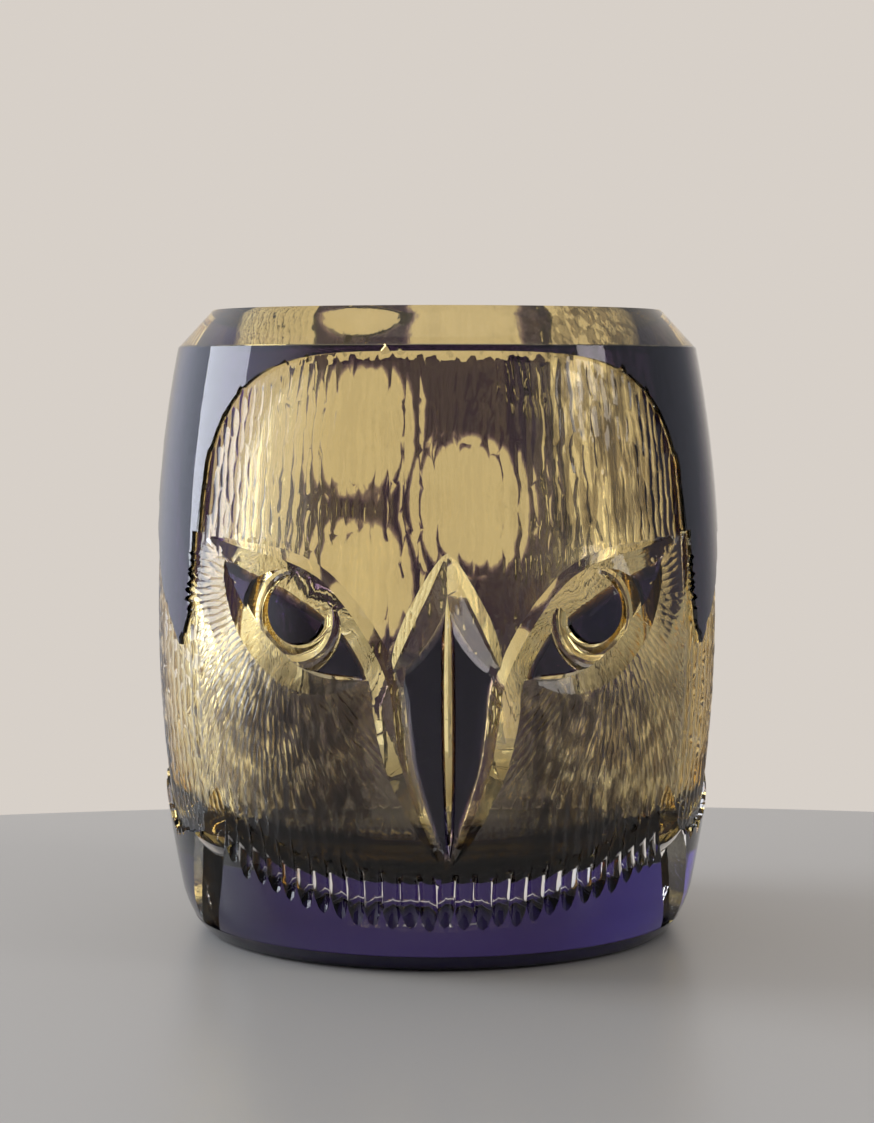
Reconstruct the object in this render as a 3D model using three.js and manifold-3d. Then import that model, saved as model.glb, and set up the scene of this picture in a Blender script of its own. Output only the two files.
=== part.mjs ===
// Cut-glass tumbler with a bird-of-prey face: clear crystal body, amber inner casing and a violet
// outer casing that the cutting wheel has divided into islands. Millimetres, +Z up, face towards -Y,
// origin at the centre of the underside.
import * as THREE from 'three';
import { mergeVertices } from 'three/addons/utils/BufferGeometryUtils.js';
import Module from 'manifold-3d';

const wasm = await Module();
wasm.setup();

// Driving dimensions
const height = 92;
const waistRadius = 42.4;        // widest radius of the barrel
const waistHeight = 47;          // height of the widest radius
const barrelCurve = 202;         // radius of the barrel's vertical curve
const bevelFootHeight = 86.5;    // where the polished rim bevel starts
const rimRadius = 33.4;          // outer radius of the flat lip
const footRadius = 34.6;
const footTopHeight = 6.8;       // where the rounded foot meets the barrel
const lipInnerRadius = 30.5;
const cavityWaistRadius = 35.2;
const cavityCurve = 218;         // radius of the cavity wall's vertical curve
const floorHeight = 14;
const floorRadius = 23;          // flat part of the cavity floor
const floorBlendHeight = 23;     // where the cavity wall meets the rounded floor corner
const casing = 0.6;              // thickness of the violet casing
const lining = 1.2;              // thickness of the amber casing
const gap = 0.3;                 // clearance between neighbouring layers
const turns = 48;                // facets round the barrel
const barrelSteps = 6;
const cavitySteps = 4;

const degree = Math.PI / 180;

// Radius of the barrel at a height, before the foot and the bevel take over
const barrelRadius = (z) => waistRadius - (z - waistHeight) ** 2 / (2 * barrelCurve);
const cavityRadius = (z) => cavityWaistRadius - (z - waistHeight) ** 2 / (2 * cavityCurve);

// A point on the barrel: angle from the face's centre line, height, and depth below the surface
function onBarrel(angle, z, depth = 0) {
  const r = barrelRadius(z) - depth;
  return new THREE.Vector3(r * Math.sin(angle), -r * Math.cos(angle), z);
}

// three.js geometry to manifold solid, turned right side out if its faces point inwards, and back
function solid(geometry) {
  const bare = geometry.clone();
  bare.deleteAttribute('normal');
  bare.deleteAttribute('uv');
  const merged = mergeVertices(bare, 1e-4);
  const vertProperties = new Float32Array(merged.attributes.position.array);
  const triVerts = new Uint32Array(merged.index.array);
  const body = new wasm.Manifold(new wasm.Mesh({ numProp: 3, vertProperties, triVerts }));
  if (body.volume() > 0) return body;
  triVerts.reverse();
  return new wasm.Manifold(new wasm.Mesh({ numProp: 3, vertProperties, triVerts }));
}

function geometryOf(body) {
  const mesh = body.getMesh();
  const geometry = new THREE.BufferGeometry();
  geometry.setAttribute('position', new THREE.BufferAttribute(new Float32Array(mesh.vertProperties), 3));
  geometry.setIndex(new THREE.BufferAttribute(new Uint32Array(mesh.triVerts), 1));
  geometry.computeVertexNormals();
  return geometry;
}

// A lathe body about +Z from a closed profile of (radius, height) points
function turned(profile, segments = turns) {
  return solid(new THREE.LatheGeometry(profile, segments).rotateX(Math.PI / 2));
}

const point = (r, z) => new THREE.Vector2(r, z);

// Points on a curve radius = f(height) between two heights
function wallPoints(radiusAt, from, to, steps) {
  const heights = Array.from({ length: steps + 1 }, (_, i) => from + (to - from) * (i / steps));
  return heights.map((z) => point(radiusAt(z), z));
}

const footEdge = new THREE.QuadraticBezierCurve(
  point(footRadius, 0), point(37.4, 2.4), point(barrelRadius(footTopHeight), footTopHeight));

const inset = casing + gap;

function crystalProfile() {
  const foot = footEdge.getPoints(3).slice(1, -1);
  return [
    point(0, inset),
    point(footRadius + 0.9 * inset, inset),
    ...foot.filter((p) => p.y > inset),
    ...wallPoints(barrelRadius, footTopHeight, bevelFootHeight, barrelSteps),
    point(rimRadius, height),
    point(lipInnerRadius + lining + gap, height),
    ...wallPoints((z) => cavityRadius(z) + lining + gap, height - 4, floorBlendHeight, cavitySteps),
    ...floorBend(lining + gap),
    point(0, floorHeight - lining - gap),
  ];
}

// Rounded corner between the cavity wall and its floor, a quarter of an ellipse
function floorBend(depth) {
  const wall = cavityRadius(floorBlendHeight) + depth;
  const reach = wall - floorRadius;
  const rise = floorBlendHeight - floorHeight + depth;
  const steps = 3;
  return Array.from({ length: steps }, (_, i) => {
    const turn = ((i + 1) / steps) * Math.PI / 2;
    return point(floorRadius + reach * Math.cos(turn), floorBlendHeight - rise * Math.sin(turn));
  });
}

function liningProfile() {
  const inner = [
    point(0, floorHeight),
    ...floorBend(0).reverse(),
    ...wallPoints(cavityRadius, floorBlendHeight, height - 4, cavitySteps),
    point(lipInnerRadius, height),
  ];
  const outer = [
    point(lipInnerRadius + lining, height),
    ...wallPoints((z) => cavityRadius(z) + lining, height - 4, floorBlendHeight, cavitySteps),
    ...floorBend(lining),
    point(0, floorHeight - lining),
  ];
  return [...inner, ...outer].reverse();
}

// A V-groove that follows a route of [degrees, height] points on the barrel. The two flanks meet the
// surface at the widths given and meet each other at the depth given; both shrink towards the ends.
function groove(route, { left, right, depth, stations = 16, ends = [0, 0], clear = 0.35 }) {
  const path = new THREE.SplineCurve(route.map(([a, z]) => point(a * degree * waistRadius, z)));
  const bar = new THREE.CylinderGeometry(1, 1, 1, 3, stations);
  const place = bar.attributes.position;
  for (let i = 0; i < place.count; i += 1) {
    const t = place.getY(i) + 0.5;
    const centre = path.getPointAt(t);
    const heading = path.getTangentAt(t);
    const rounding = Math.sin(Math.PI * t) ** 0.45;
    const blunt = ends[0] * (1 - t) + ends[1] * t;
    const size = Math.max(0.03, rounding + blunt * (1 - rounding));
    const corner = Math.atan2(place.getX(i), place.getZ(i)) / (2 * Math.PI / 3);
    const middle = Math.hypot(place.getX(i), place.getZ(i)) < 0.5;
    let aside = 0;
    let down = depth * size;
    if (middle || Math.abs(corner) > 0.5) {
      aside = (corner > 0 ? right : -left) * size * (1 + clear);
      down = -depth * size * clear;
    }
    if (middle) {
      aside = 0;
      down = 0;
    }
    const u = centre.x + heading.y * aside;
    const v = centre.y - heading.x * aside;
    place.setXYZ(i, ...onBarrel(u / waistRadius, v, down).toArray());
  }
  return solid(bar);
}

// Turns a shape made about +Y so that +Y points out of the barrel at an angle and height
function facingOut(geometry, angle, z) {
  return geometry.rotateZ(angle + Math.PI).translate(...onBarrel(angle, z).toArray());
}

// A block standing on the barrel over an outline of [degrees, height] points, from well inside the
// wall to well outside it
function patch(outline, from = 30, to = 54) {
  const shape = new THREE.Shape(outline.map(([a, z]) => point(a, z)));
  const block = new THREE.ExtrudeGeometry(shape, { depth: 1, bevelEnabled: false, steps: 1 });
  const place = block.attributes.position;
  for (let i = 0; i < place.count; i += 1) {
    const r = place.getZ(i) > 0.5 ? to : from;
    const angle = place.getX(i) * degree;
    place.setXYZ(i, r * Math.sin(angle), -r * Math.cos(angle), place.getY(i));
  }
  return solid(block);
}

const mirrored = (route) => route.map(([a, z]) => [-a, z]);

function add(...bodies) {
  return bodies.reduce((sum, body) => sum.add(body));
}

// The cuts of the face, for the right half; the left half is their mirror image
const tip = [0.6, 14.6];
const crest = [0, 58.6];
const browRoute = [[54, 60], [43, 58.3], [33.5, 57], [26, 54.8], [21, 51.5], [17, 47.8], [13.5, 43.6],
  [11.2, 39.4], [10.3, 34.6], [9.1, 29.4], [6.8, 24.3], [3.8, 19.3], tip];
const leafRoute = [crest, [3, 53.6], [6.2, 49], [8.8, 45], [10.5, 42]];
const lidRoute = [[48, 57.4], [44.8, 52.9], [41.3, 49.2], [37.1, 46], [32.7, 43.4], [27.8, 41.7], [22.5, 41],
  [15.6, 41.2]];
const irisCentre = [29.6, 50];
const irisRadius = 4.4;
const ringRadius = 8;

function faceCuts(side) {
  const on = (route) => (side > 0 ? route : mirrored(route));
  const [upper, lower] = side > 0 ? ['right', 'left'] : ['left', 'right'];
  const brow = groove(on(browRoute), { [upper]: 2.3, [lower]: 3.1, depth: 1.8, stations: 18 });
  const leaf = groove(on(leafRoute), { [upper]: 2.3, [lower]: 2.9, depth: 1.7, stations: 7 });
  const lid = groove(on(lidRoute), { [upper]: 1.3, [lower]: 3.4, depth: 1.7, stations: 10 });
  return add(brow, leaf, lid, irisRing(side));
}

// The clear ring round an iris: a triangular section turned about the line out of the barrel, kept
// between the brow and the lid
const eyeOpening = [...browRoute.slice(0, 7), ...lidRoute.toReversed()];
function irisRing(side) {
  const middle = (irisRadius + ringRadius) / 2;
  const section = [point(irisRadius - 0.6, 1.1), point(middle, -1.9), point(ringRadius + 0.6, 1.1)];
  const ring = new THREE.LatheGeometry([...section, section[0]], 20);
  const opening = patch(side > 0 ? eyeOpening : mirrored(eyeOpening));
  return solid(facingOut(ring, side * irisCentre[0] * degree, irisCentre[1])).intersect(opening);
}

const centreCut = groove([crest, [0, 44], [0, 29], tip.map((v, i) => (i ? v : 0))],
  { left: 0.8, right: 0.8, depth: 1.3, stations: 8, ends: [0.5, 0.5] });

// Pointed wedges that part the front and back of the base from the four side feet
const wedgeRoute = [[70, -4], [64, 5], [57, 15], [52, 25]];
const wedge = (route) => groove(route, { left: 4.2, right: 4.2, depth: 3.6, stations: 6, ends: [1, 0] });
const behind = (route) => route.map(([a, z]) => [180 - a, z]);
const wedges = add(wedge(wedgeRoute), wedge(mirrored(wedgeRoute)), wedge(behind(wedgeRoute)),
  wedge(mirrored(behind(wedgeRoute))));

// Row of drop-shaped flutes along the lower edge of the face
const fluteCount = 19;
const fluteStep = 4.6;
function flute(index) {
  const angle = (index - (fluteCount - 1) / 2) * fluteStep;
  const lift = 5.5 * (angle / 43) ** 2;
  const route = [[angle, 7.2 + lift], [angle, 10.5 + lift], [angle, 15 + lift]];
  return groove(route, { left: 1.3, right: 1.3, depth: 1.2, stations: 4 });
}
const flutes = add(...Array.from({ length: fluteCount }, (_, i) => flute(i)));

// Oval windows cut into the back, staggered: [degrees from the back, height, half their height]
const windows = [[19.5, 73.5, 11.6], [-10.8, 61, 11.6], [19.5, 48, 11.4]];
const windowStretch = 1.16;      // width over height
const windowDepth = 2.2;
function windowCut([angle, z, radius]) {
  const rings = 2;
  const bowl = Array.from({ length: rings + 1 }, (_, i) => {
    const r = radius * 1.25 * (i / rings);
    return point(r, windowDepth * ((r / radius) ** 2 - 1));
  });
  const plug = new THREE.LatheGeometry([...bowl, point(0, 4)], 18).scale(windowStretch, 1, 1);
  return solid(facingOut(plug, (180 + angle) * degree, z));
}
const windowCuts = add(...windows.map(windowCut));

const leftCuts = faceCuts(-1);
const rightCuts = faceCuts(1);
const faceAll = add(leftCuts, rightCuts, centreCut);

// Violet casing as a thin shell, and the thicker shell that the clear body gives way to under it
const casingShell = (inner, outer, from, to) => turned([
  ...wallPoints((z) => barrelRadius(z) - inner, from, to, barrelSteps),
  ...wallPoints((z) => barrelRadius(z) - outer, to, from, barrelSteps),
  point(barrelRadius(from) - inner, from),
]);
const shell = casingShell(casing, 0, footTopHeight, bevelFootHeight - gap);
const seat = casingShell(inset, -1, footTopHeight - gap, bevelFootHeight);

// Edge of the face disc: a rounded square in angle and height, drawn in by a margin
const discHalfAngle = 56;
const discMiddle = 46.5;
const discHalfHeight = 39.2;
const perDegree = waistRadius * degree;
function discEdge(from, to, steps, margin) {
  return Array.from({ length: steps + 1 }, (_, i) => {
    const turn = (from + (to - from) * (i / steps)) * degree;
    const reach = (Math.cos(turn) ** 4 + Math.sin(turn) ** 4) ** -0.25;
    const wide = (discHalfAngle - margin / perDegree) * reach * Math.cos(turn);
    return [wide, discMiddle + (discHalfHeight - margin) * reach * Math.sin(turn)];
  });
}

// Casing left round the top corners and in a narrow strip over the forehead
function crownRegion(margin) {
  const out = margin / perDegree;
  const [top, ...edge] = discEdge(90, 6, 12, margin);
  const half = [[-1, top[1]], ...edge, [62, 44 - margin], [72 + out, 52 - margin],
    [80 + out, 62 - margin], [84 + out, 74], [84 + out, 90], [60, 90], [30, 90], [-1, 90]];
  return add(patch(half), patch(mirrored(half)));
}

// Casing left on the back, widest behind the cheeks: [degrees from the back, height] up one side
const backEdge = [[46, 0], [46, 18], [60, 30], [60, 44], [38, 62], [37, 90]];
function backRegion(margin) {
  const side = backEdge.map(([a, z]) => [a + margin / perDegree, z]);
  return patch([...side.map(([a, z]) => [180 + a, z]), [180, 90],
    ...side.reverse().map(([a, z]) => [180 - a, z]), [180, 0]]);
}

// Islands of casing inside the face: their outlines run along the floors of the grooves round them
const beakOutline = [crest, [10.4, 41.6], [10.3, 34.6], [9.1, 29.4], [6.8, 24.3], [3.8, 19.3], [0, 14.6]];
const eyeOuterOutline = [[52, 59], [43, 58.3], [37.5, 57.6], [39.4, 54], [40.4, 51], [40.8, 48.8],
  [41.3, 49.2], [44.8, 52.9], [48, 57.4]];
const eyeInnerOutline = [[21.6, 51.8], [17, 47.8], [14, 43.6], [15.6, 41.2], [22.5, 41], [24.6, 41.6],
  [22, 44.4], [20.6, 47.6]];
const irisOutline = Array.from({ length: 20 }, (_, i) => {
  const turn = (i / 20) * 2 * Math.PI;
  const reach = irisRadius + 1;
  return [irisCentre[0] + (reach / perDegree) * Math.cos(turn), irisCentre[1] + reach * Math.sin(turn)];
});

const faceIslands = {};
for (const [hand, side] of [['left', -1], ['right', 1]]) {
  const region = (outline) => patch(side > 0 ? outline : mirrored(outline));
  faceIslands[`violet_beak_${hand}`] = region(beakOutline);
  faceIslands[`violet_iris_${hand}`] = region(irisOutline);
  faceIslands[`violet_eye_outer_${hand}`] = region(eyeOuterOutline);
  faceIslands[`violet_eye_inner_${hand}`] = region(eyeInnerOutline);
}

const seats = seat.intersect(add(crownRegion(gap), backRegion(gap), ...Object.values(faceIslands)));
const crystal = turned(crystalProfile()).subtract(seats).subtract(faceAll).subtract(wedges)
  .subtract(flutes).subtract(windowCuts);

const foot = turned([point(0, 0), point(footRadius, 0), point(footRadius - casing, casing), point(0, casing)])
  .subtract(wedges);

const clearGlass = { color: 0xe9ecea, roughness: 0.02, metalness: 0 };
const amberGlass = { color: 0xc07a1c, roughness: 0.03, metalness: 0 };
const violetGlass = { color: 0x2b1a4a, roughness: 0.03, metalness: 0 };

const group = new THREE.Group();
function piece(name, body, look) {
  const mesh = new THREE.Mesh(geometryOf(body), new THREE.MeshStandardMaterial(look));
  mesh.name = name;
  group.add(mesh);
}

piece('crystal_body', crystal, clearGlass);
piece('amber_lining', turned(liningProfile()), amberGlass);
piece('violet_crown', shell.intersect(crownRegion(0)), violetGlass);
piece('violet_back', shell.intersect(backRegion(0)).subtract(windowCuts), violetGlass);
piece('violet_foot', foot, violetGlass);
for (const [name, region] of Object.entries(faceIslands)) {
  piece(name, shell.intersect(region).subtract(faceAll), violetGlass);
}

export default group;
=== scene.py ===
import bmesh
import bpy
import math
import time
import numpy as np
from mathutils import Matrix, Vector


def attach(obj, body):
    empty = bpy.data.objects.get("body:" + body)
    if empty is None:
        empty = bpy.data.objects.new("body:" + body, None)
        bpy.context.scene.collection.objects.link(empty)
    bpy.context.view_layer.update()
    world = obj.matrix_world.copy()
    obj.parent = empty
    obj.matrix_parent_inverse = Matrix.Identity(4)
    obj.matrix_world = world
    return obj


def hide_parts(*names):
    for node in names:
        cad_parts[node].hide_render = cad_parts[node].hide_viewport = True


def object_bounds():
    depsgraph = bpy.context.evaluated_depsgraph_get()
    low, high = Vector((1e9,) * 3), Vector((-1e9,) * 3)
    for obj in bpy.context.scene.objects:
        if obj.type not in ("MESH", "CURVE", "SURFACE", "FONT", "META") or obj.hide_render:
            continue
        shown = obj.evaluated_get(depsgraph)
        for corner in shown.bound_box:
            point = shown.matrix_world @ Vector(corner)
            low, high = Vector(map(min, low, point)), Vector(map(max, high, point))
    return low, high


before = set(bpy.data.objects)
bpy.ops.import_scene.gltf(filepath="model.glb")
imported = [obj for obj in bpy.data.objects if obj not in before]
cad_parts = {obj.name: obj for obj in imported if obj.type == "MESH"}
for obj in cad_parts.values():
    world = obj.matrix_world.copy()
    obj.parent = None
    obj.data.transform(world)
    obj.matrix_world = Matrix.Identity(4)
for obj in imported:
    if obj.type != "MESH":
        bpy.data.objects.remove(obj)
cadLow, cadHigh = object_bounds()
started = time.time()
mm = 0.001                     # shapes are worked out in millimetres and written to the meshes in metres

body = dict(                   # the clear tumbler, which every coloured layer and every cut lies on
    height=cadHigh.z / mm,
    waistRadius=42.4,          # widest radius, at waistHeight
    waistHeight=47.0,
    barrelCurve=202.0,         # radius of the barrel's vertical curve
    bevelFoot=86.5,            # where the rim bevel starts
    rimRadius=33.4,
    rimSoftening=0.25,         # the polished corner between the bevel and the lip
    lipInner=30.5,
    footRadius=34.6,
    footBulge=(37.4, 2.4),     # radius and height that the rounded foot is drawn towards
    footTop=6.8,               # where the rounded foot meets the barrel
    baseRing=20,               # radius of a ring of points inside the flat base
    cavityWaist=35.2,
    cavityCurve=218.0,
    floorHeight=14.0,
    floorRadius=23.0,
    floorBlend=23.0,           # height where the cavity wall starts to round into its floor
    around=224,                # points in one turn
)
layers = dict(
    casing=0.6,                # violet glass outside
    casingFoot=2.0,            # lowest point of the violet on the wall
    casingBase=2.4,            # how high the violet under the base comes up round the foot
    lining=1.2,                # amber glass inside
    floorLining=1.9,           # the amber pools a little on the cavity floor
    lipStart=0.5,              # how far below the lip the amber starts to round over it
    lipEdge=[(0.15, 0.1), (0.35, 0.0)],      # its points there: outwards, and down from the lip
    lipBack=1,                 # how far below the lip its outer side starts
    film=0.05,                 # how far a coloured layer stands proud of the clear glass it is fused to
    around=192,
)
film, casing, lining = layers["film"], layers["casing"], layers["lining"]
rim = body["height"]
textured = 0.8                 # how far the feather cuts lower the face below the uncut surface


def barrelRadius(z):
    # the waist's radius less the height from the waist, squared, over twice the radius of the barrel's curve
    return body["waistRadius"] - (z - body["waistHeight"]) ** 2 / (2 * body["barrelCurve"])


def cavityRadius(z):
    # the same formula for the drink cavity, which has a flatter curve of its own
    return body["cavityWaist"] - (z - body["waistHeight"]) ** 2 / (2 * body["cavityCurve"])


def onBarrel(u, z, depth):
    # a point at arc length u round the waist from the face's centre line, at height z and a depth inwards:
    # its angle is u over the waist's radius, and its radius is the barrel's at that height less the depth
    angle = u / body["waistRadius"]
    r = barrelRadius(z) - depth
    return np.stack([r * np.sin(angle), -r * np.cos(angle), z + 0 * r], axis=-1)


def arc(degrees):
    # arc length round the waist
    return np.radians(degrees) * body["waistRadius"]


def makeMesh(name, points, faces):
    mesh = bpy.data.meshes.new(name)
    mesh.from_pydata((np.asarray(points) * mm).tolist(), [], [tuple(f) for f in faces])
    mesh.update()
    piece = bpy.data.objects.new(name, mesh)
    bpy.context.scene.collection.objects.link(piece)
    return piece


def discard(piece):
    mesh = piece.data
    bpy.data.objects.remove(piece)
    bpy.data.meshes.remove(mesh)


def combine(piece, tool, operation):
    # one boolean with the tool, written back into the piece's own mesh
    step = piece.modifiers.new("cut", "BOOLEAN")
    step.operation = operation
    step.solver = "MANIFOLD"
    step.object = tool
    graph = bpy.context.evaluated_depsgraph_get()
    made = bpy.data.meshes.new_from_object(piece.evaluated_get(graph))
    piece.modifiers.remove(step)
    old = piece.data
    piece.data = made
    name = old.name
    bpy.data.meshes.remove(old)
    made.name = name
    return piece


def gridFaces(rows, columns, closedRows=False, closedColumns=True):
    # quads between neighbouring rows of a grid of points
    r = np.arange(rows if closedRows else rows - 1)
    c = np.arange(columns if closedColumns else columns - 1)
    r0, c0 = np.meshgrid(r, c, indexing="ij")
    r1, c1 = (r0 + 1) % rows, (c0 + 1) % columns
    quads = np.stack([r0 * columns + c0, r0 * columns + c1, r1 * columns + c1, r1 * columns + c0], axis=-1)
    return quads.reshape(-1, 4)


def turned(name, profile, around=None):
    # a profile of (radius, height) rows carried round the axis; it starts and ends on the axis or closes
    around = around or body["around"]
    profile = np.asarray(profile, float)
    onAxis = profile[0, 0] < 1e-6 and profile[-1, 0] < 1e-6
    ring = profile[1:-1] if onAxis else profile
    turn = np.linspace(0, 2 * np.pi, around, endpoint=False)
    points = np.stack([
        ring[:, 0, None] * np.cos(turn), ring[:, 0, None] * np.sin(turn),
        ring[:, 1, None] + 0 * turn], axis=-1).reshape(-1, 3)
    faces = gridFaces(len(ring), around, closedRows=not onAxis).tolist()
    if onAxis:
        count = len(points)
        points = np.vstack([points, [[0, 0, profile[0, 1]], [0, 0, profile[-1, 1]]]])
        step = np.arange(around)
        following = (step + 1) % around
        last = (len(ring) - 1) * around
        faces += np.stack([step * 0 + count, following, step], axis=-1).tolist()
        faces += np.stack([step * 0 + count + 1, last + step, last + following], axis=-1).tolist()
    return outward(makeMesh(name, points, faces))


def triangles(mesh):
    # corner numbers of a mesh's triangles, and the places of its vertices
    mesh.calc_loop_triangles()
    corners = np.empty(len(mesh.loop_triangles) * 3, np.int32)
    mesh.loop_triangles.foreach_get("vertices", corners)
    place = np.empty(len(mesh.vertices) * 3, np.float32)
    mesh.vertices.foreach_get("co", place)
    return corners.reshape(-1, 3), place.reshape(-1, 3)


def outward(piece):
    # turns a closed mesh right side out if its signed volume, the sum of a . (b x c), is negative
    corners, place = triangles(piece.data)
    a, b, c = (place[corners[:, k]] for k in range(3))
    if np.einsum("ij,ij->i", a, np.cross(b, c)).sum() < 0:
        piece.data.flip_normals()
    return piece


def spline(route, count, perStretch=24):
    # evenly spaced points and headings on a smooth cubic curve through a route of (degrees, height) points
    ends = np.array([[arc(a), z] for a, z in route], float)
    ends = np.vstack([2 * ends[0] - ends[1], ends, 2 * ends[-1] - ends[-2]])
    pieces = []
    t = np.linspace(0, 1, perStretch, endpoint=False)[:, None]
    for a, b, c, d in zip(ends[:-3], ends[1:-2], ends[2:-1], ends[3:]):
        pieces.append(0.5 * (2 * b + (c - a) * t + (2 * a - 5 * b + 4 * c - d) * t ** 2
                             + (3 * b - a - 3 * c + d) * t ** 3))
    fine = np.vstack([*pieces, ends[-2:-1]])
    length = np.r_[0, np.cumsum(np.hypot(*np.diff(fine, axis=0).T))]
    at = np.linspace(0, length[-1], count)
    path = np.stack([np.interp(at, length, fine[:, k]) for k in (0, 1)], axis=-1)
    heading = np.gradient(path, axis=0)
    return path, heading / np.hypot(*heading.T)[:, None]


def mitre(route, right, left, depth, count=60, ends=(0.0, 0.0), power=0.45, level=textured, deeper=0.0,
          reach=0.45, least=0.02):
    # a V-groove along a route: its flanks pass through the widths given at the level and meet at depth below
    # it; its size rises from both ends as a power of a sine, and its cutter comes out by reach above the glass
    path, heading = spline(route, count)
    t = np.linspace(0, 1, count)
    rounding = np.sin(np.pi * t) ** power
    size = np.maximum(least, rounding + (ends[0] * (1 - t) + ends[1] * t) * (1 - rounding))
    above = (level + reach) / depth          # how far the cutter comes out, as a share of its depth
    widen = 1 + above
    aside = np.stack([-left * widen * size, 0 * size, right * widen * size], axis=1)
    down = np.stack([-above * depth * size, depth * size, -above * depth * size], axis=1)
    down = down + level * size[:, None] ** 0.5 + deeper
    u = path[:, :1] + heading[:, 1:] * aside
    v = path[:, 1:] - heading[:, :1] * aside
    points = onBarrel(u, v, down).reshape(-1, 3)
    faces = gridFaces(count, 3, closedColumns=True).tolist()
    last = (count - 1) * 3
    faces += [[2, 1, 0], [last, last + 1, last + 2]]
    return points, faces


def bowls(cuts, level, reach=0.45, rings=3, around=10, collar=1.12, power=2.0, deeper=0.0):
    # lens-shaped wheel cuts: each is sunk below the level by depth x (1 - share of its radius ^ power), with
    # a steep collar that comes out above the surface, where a flat lid closes it
    centres, headings, lengths, widths, depths = (cuts[k] for k in ("at", "turn", "long", "wide", "deep"))
    q = np.r_[np.linspace(0, 1, rings + 1)[1:] ** (2 / power), collar]
    turn = np.linspace(0, 2 * np.pi, around, endpoint=False)
    sink = np.r_[1 - q[:-1] ** power, 0]
    along = lengths[:, None, None] * q[:, None] * np.cos(turn)
    across = widths[:, None, None] * q[:, None] * np.sin(turn)
    down = depths[:, None, None] * sink[:, None] + 0 * across
    down[:, -1] = -level - reach
    tip = np.stack([0 * depths, 0 * depths, depths], axis=-1)[:, None, :]
    lid = np.stack([0 * depths, 0 * depths, 0 * depths - level - reach], axis=-1)[:, None, :]
    local = np.stack([along, across, down], axis=-1).reshape(len(depths), -1, 3)
    local = np.concatenate([local, tip, lid], axis=1)
    sin, cos = np.sin(headings)[:, None], np.cos(headings)[:, None]
    u = centres[:, 0, None] + local[..., 0] * sin + local[..., 1] * cos
    v = centres[:, 1, None] + local[..., 0] * cos - local[..., 1] * sin
    points = onBarrel(u, v, local[..., 2] + level + deeper)
    rows = rings + 1
    side = gridFaces(rows, around)
    step = np.arange(around)
    following = (step + 1) % around
    inner = np.stack([following, step, step * 0 + rows * around], axis=-1)
    outer = np.stack([step, following, step * 0 + rows * around + 1], axis=-1)
    outer[:, :2] += (rows - 1) * around
    return points, side, np.vstack([inner, outer])


def bowlTool(name, shapes, chosen):
    points, side, fans = shapes
    size = points.shape[1]
    shift = (np.arange(len(chosen)) * size)[:, None, None]
    faces = (side[None] + shift).reshape(-1, 4).tolist() + (fans[None] + shift).reshape(-1, 3).tolist()
    return outward(makeMesh(name, points[chosen].reshape(-1, 3), faces))


def ringGroove(centre, inner, outer, depth, around=84, power=1.0, deeper=0.0, stations=9, spread=1.25, lid=0.6):
    # a groove round a centre: it sinks by depth x (1 - share of its half width ^ power); its section runs on
    # past both edges to spread x its half width, and a lid closes it above the glass
    share = np.linspace(-1, 1, stations)
    middle, half = (inner + outer) / 2, (outer - inner) / 2
    radius = np.r_[middle + half * share * spread, middle]
    sink = np.r_[depth * (1 - (np.abs(share) * spread) ** power), -lid]
    turn = np.linspace(0, 2 * np.pi, around, endpoint=False)[:, None]
    points = onBarrel(arc(centre[0]) + radius * np.cos(turn), centre[1] + radius * np.sin(turn),
                      sink + deeper + 0 * turn)
    return points.reshape(-1, 3), gridFaces(around, len(radius), closedRows=True).tolist()


def mirrored(route):
    return [(-a, z) for a, z in route]


def untangled(cuts, slack=1.15, apartBy=0.05):
    # sorts overlapping cuts into groups in which no two touch, so that each group is one clean tool
    centres, headings, lengths, widths = (cuts[k] for k in ("at", "turn", "long", "wide"))
    reach = np.hypot(lengths, widths) * slack
    cosines, sines = np.cos(headings), np.sin(headings)
    group = -np.ones(len(centres), int)
    for i in range(len(centres)):
        apart = centres[:i] - centres[i]
        near = np.hypot(*apart.T) < reach[:i] + reach[i]
        along = np.abs(apart[:, 0] * sines[i] + apart[:, 1] * cosines[i])
        across = np.abs(apart[:, 0] * cosines[i] - apart[:, 1] * sines[i])
        lean = np.abs(np.sin(headings[:i] - headings[i]))
        spanLong = (lengths[i] + lengths[:i] + widths[:i] * lean) * slack + apartBy
        spanWide = (widths[i] + widths[:i] + lengths[:i] * lean) * slack + apartBy
        taken = set(group[:i][near & (along < spanLong) & (across < spanWide)])
        group[i] = next(g for g in range(len(centres)) if g not in taken)
    return group


def block(name, us, low, high, inner, outer, rows=12):
    # a slab on the barrel over columns us, from height low to high, between two depths
    t = np.linspace(0, 1, rows)
    z = low[:, None] + (high - low)[:, None] * np.r_[t, t[::-1]]
    depth = np.r_[np.full(rows, float(outer)), np.full(rows, float(inner))]
    points = onBarrel(us[:, None], z, depth + 0 * z).reshape(-1, 3)
    loop = 2 * rows
    faces = gridFaces(len(us), loop).tolist()
    for start, flip in ((0, True), ((len(us) - 1) * loop, False)):
        k = np.arange(rows - 1)
        cap = np.stack([k, k + 1, loop - 2 - k, loop - 1 - k], axis=-1) + start
        faces += (cap[:, ::-1] if flip else cap).tolist()
    return outward(makeMesh(name, points, faces))


def closed(shape):
    return outward(makeMesh("tool", *shape))


def edge(points, at):
    # straight lines through (degrees, height) points
    return np.interp(at, *zip(*points))


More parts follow.
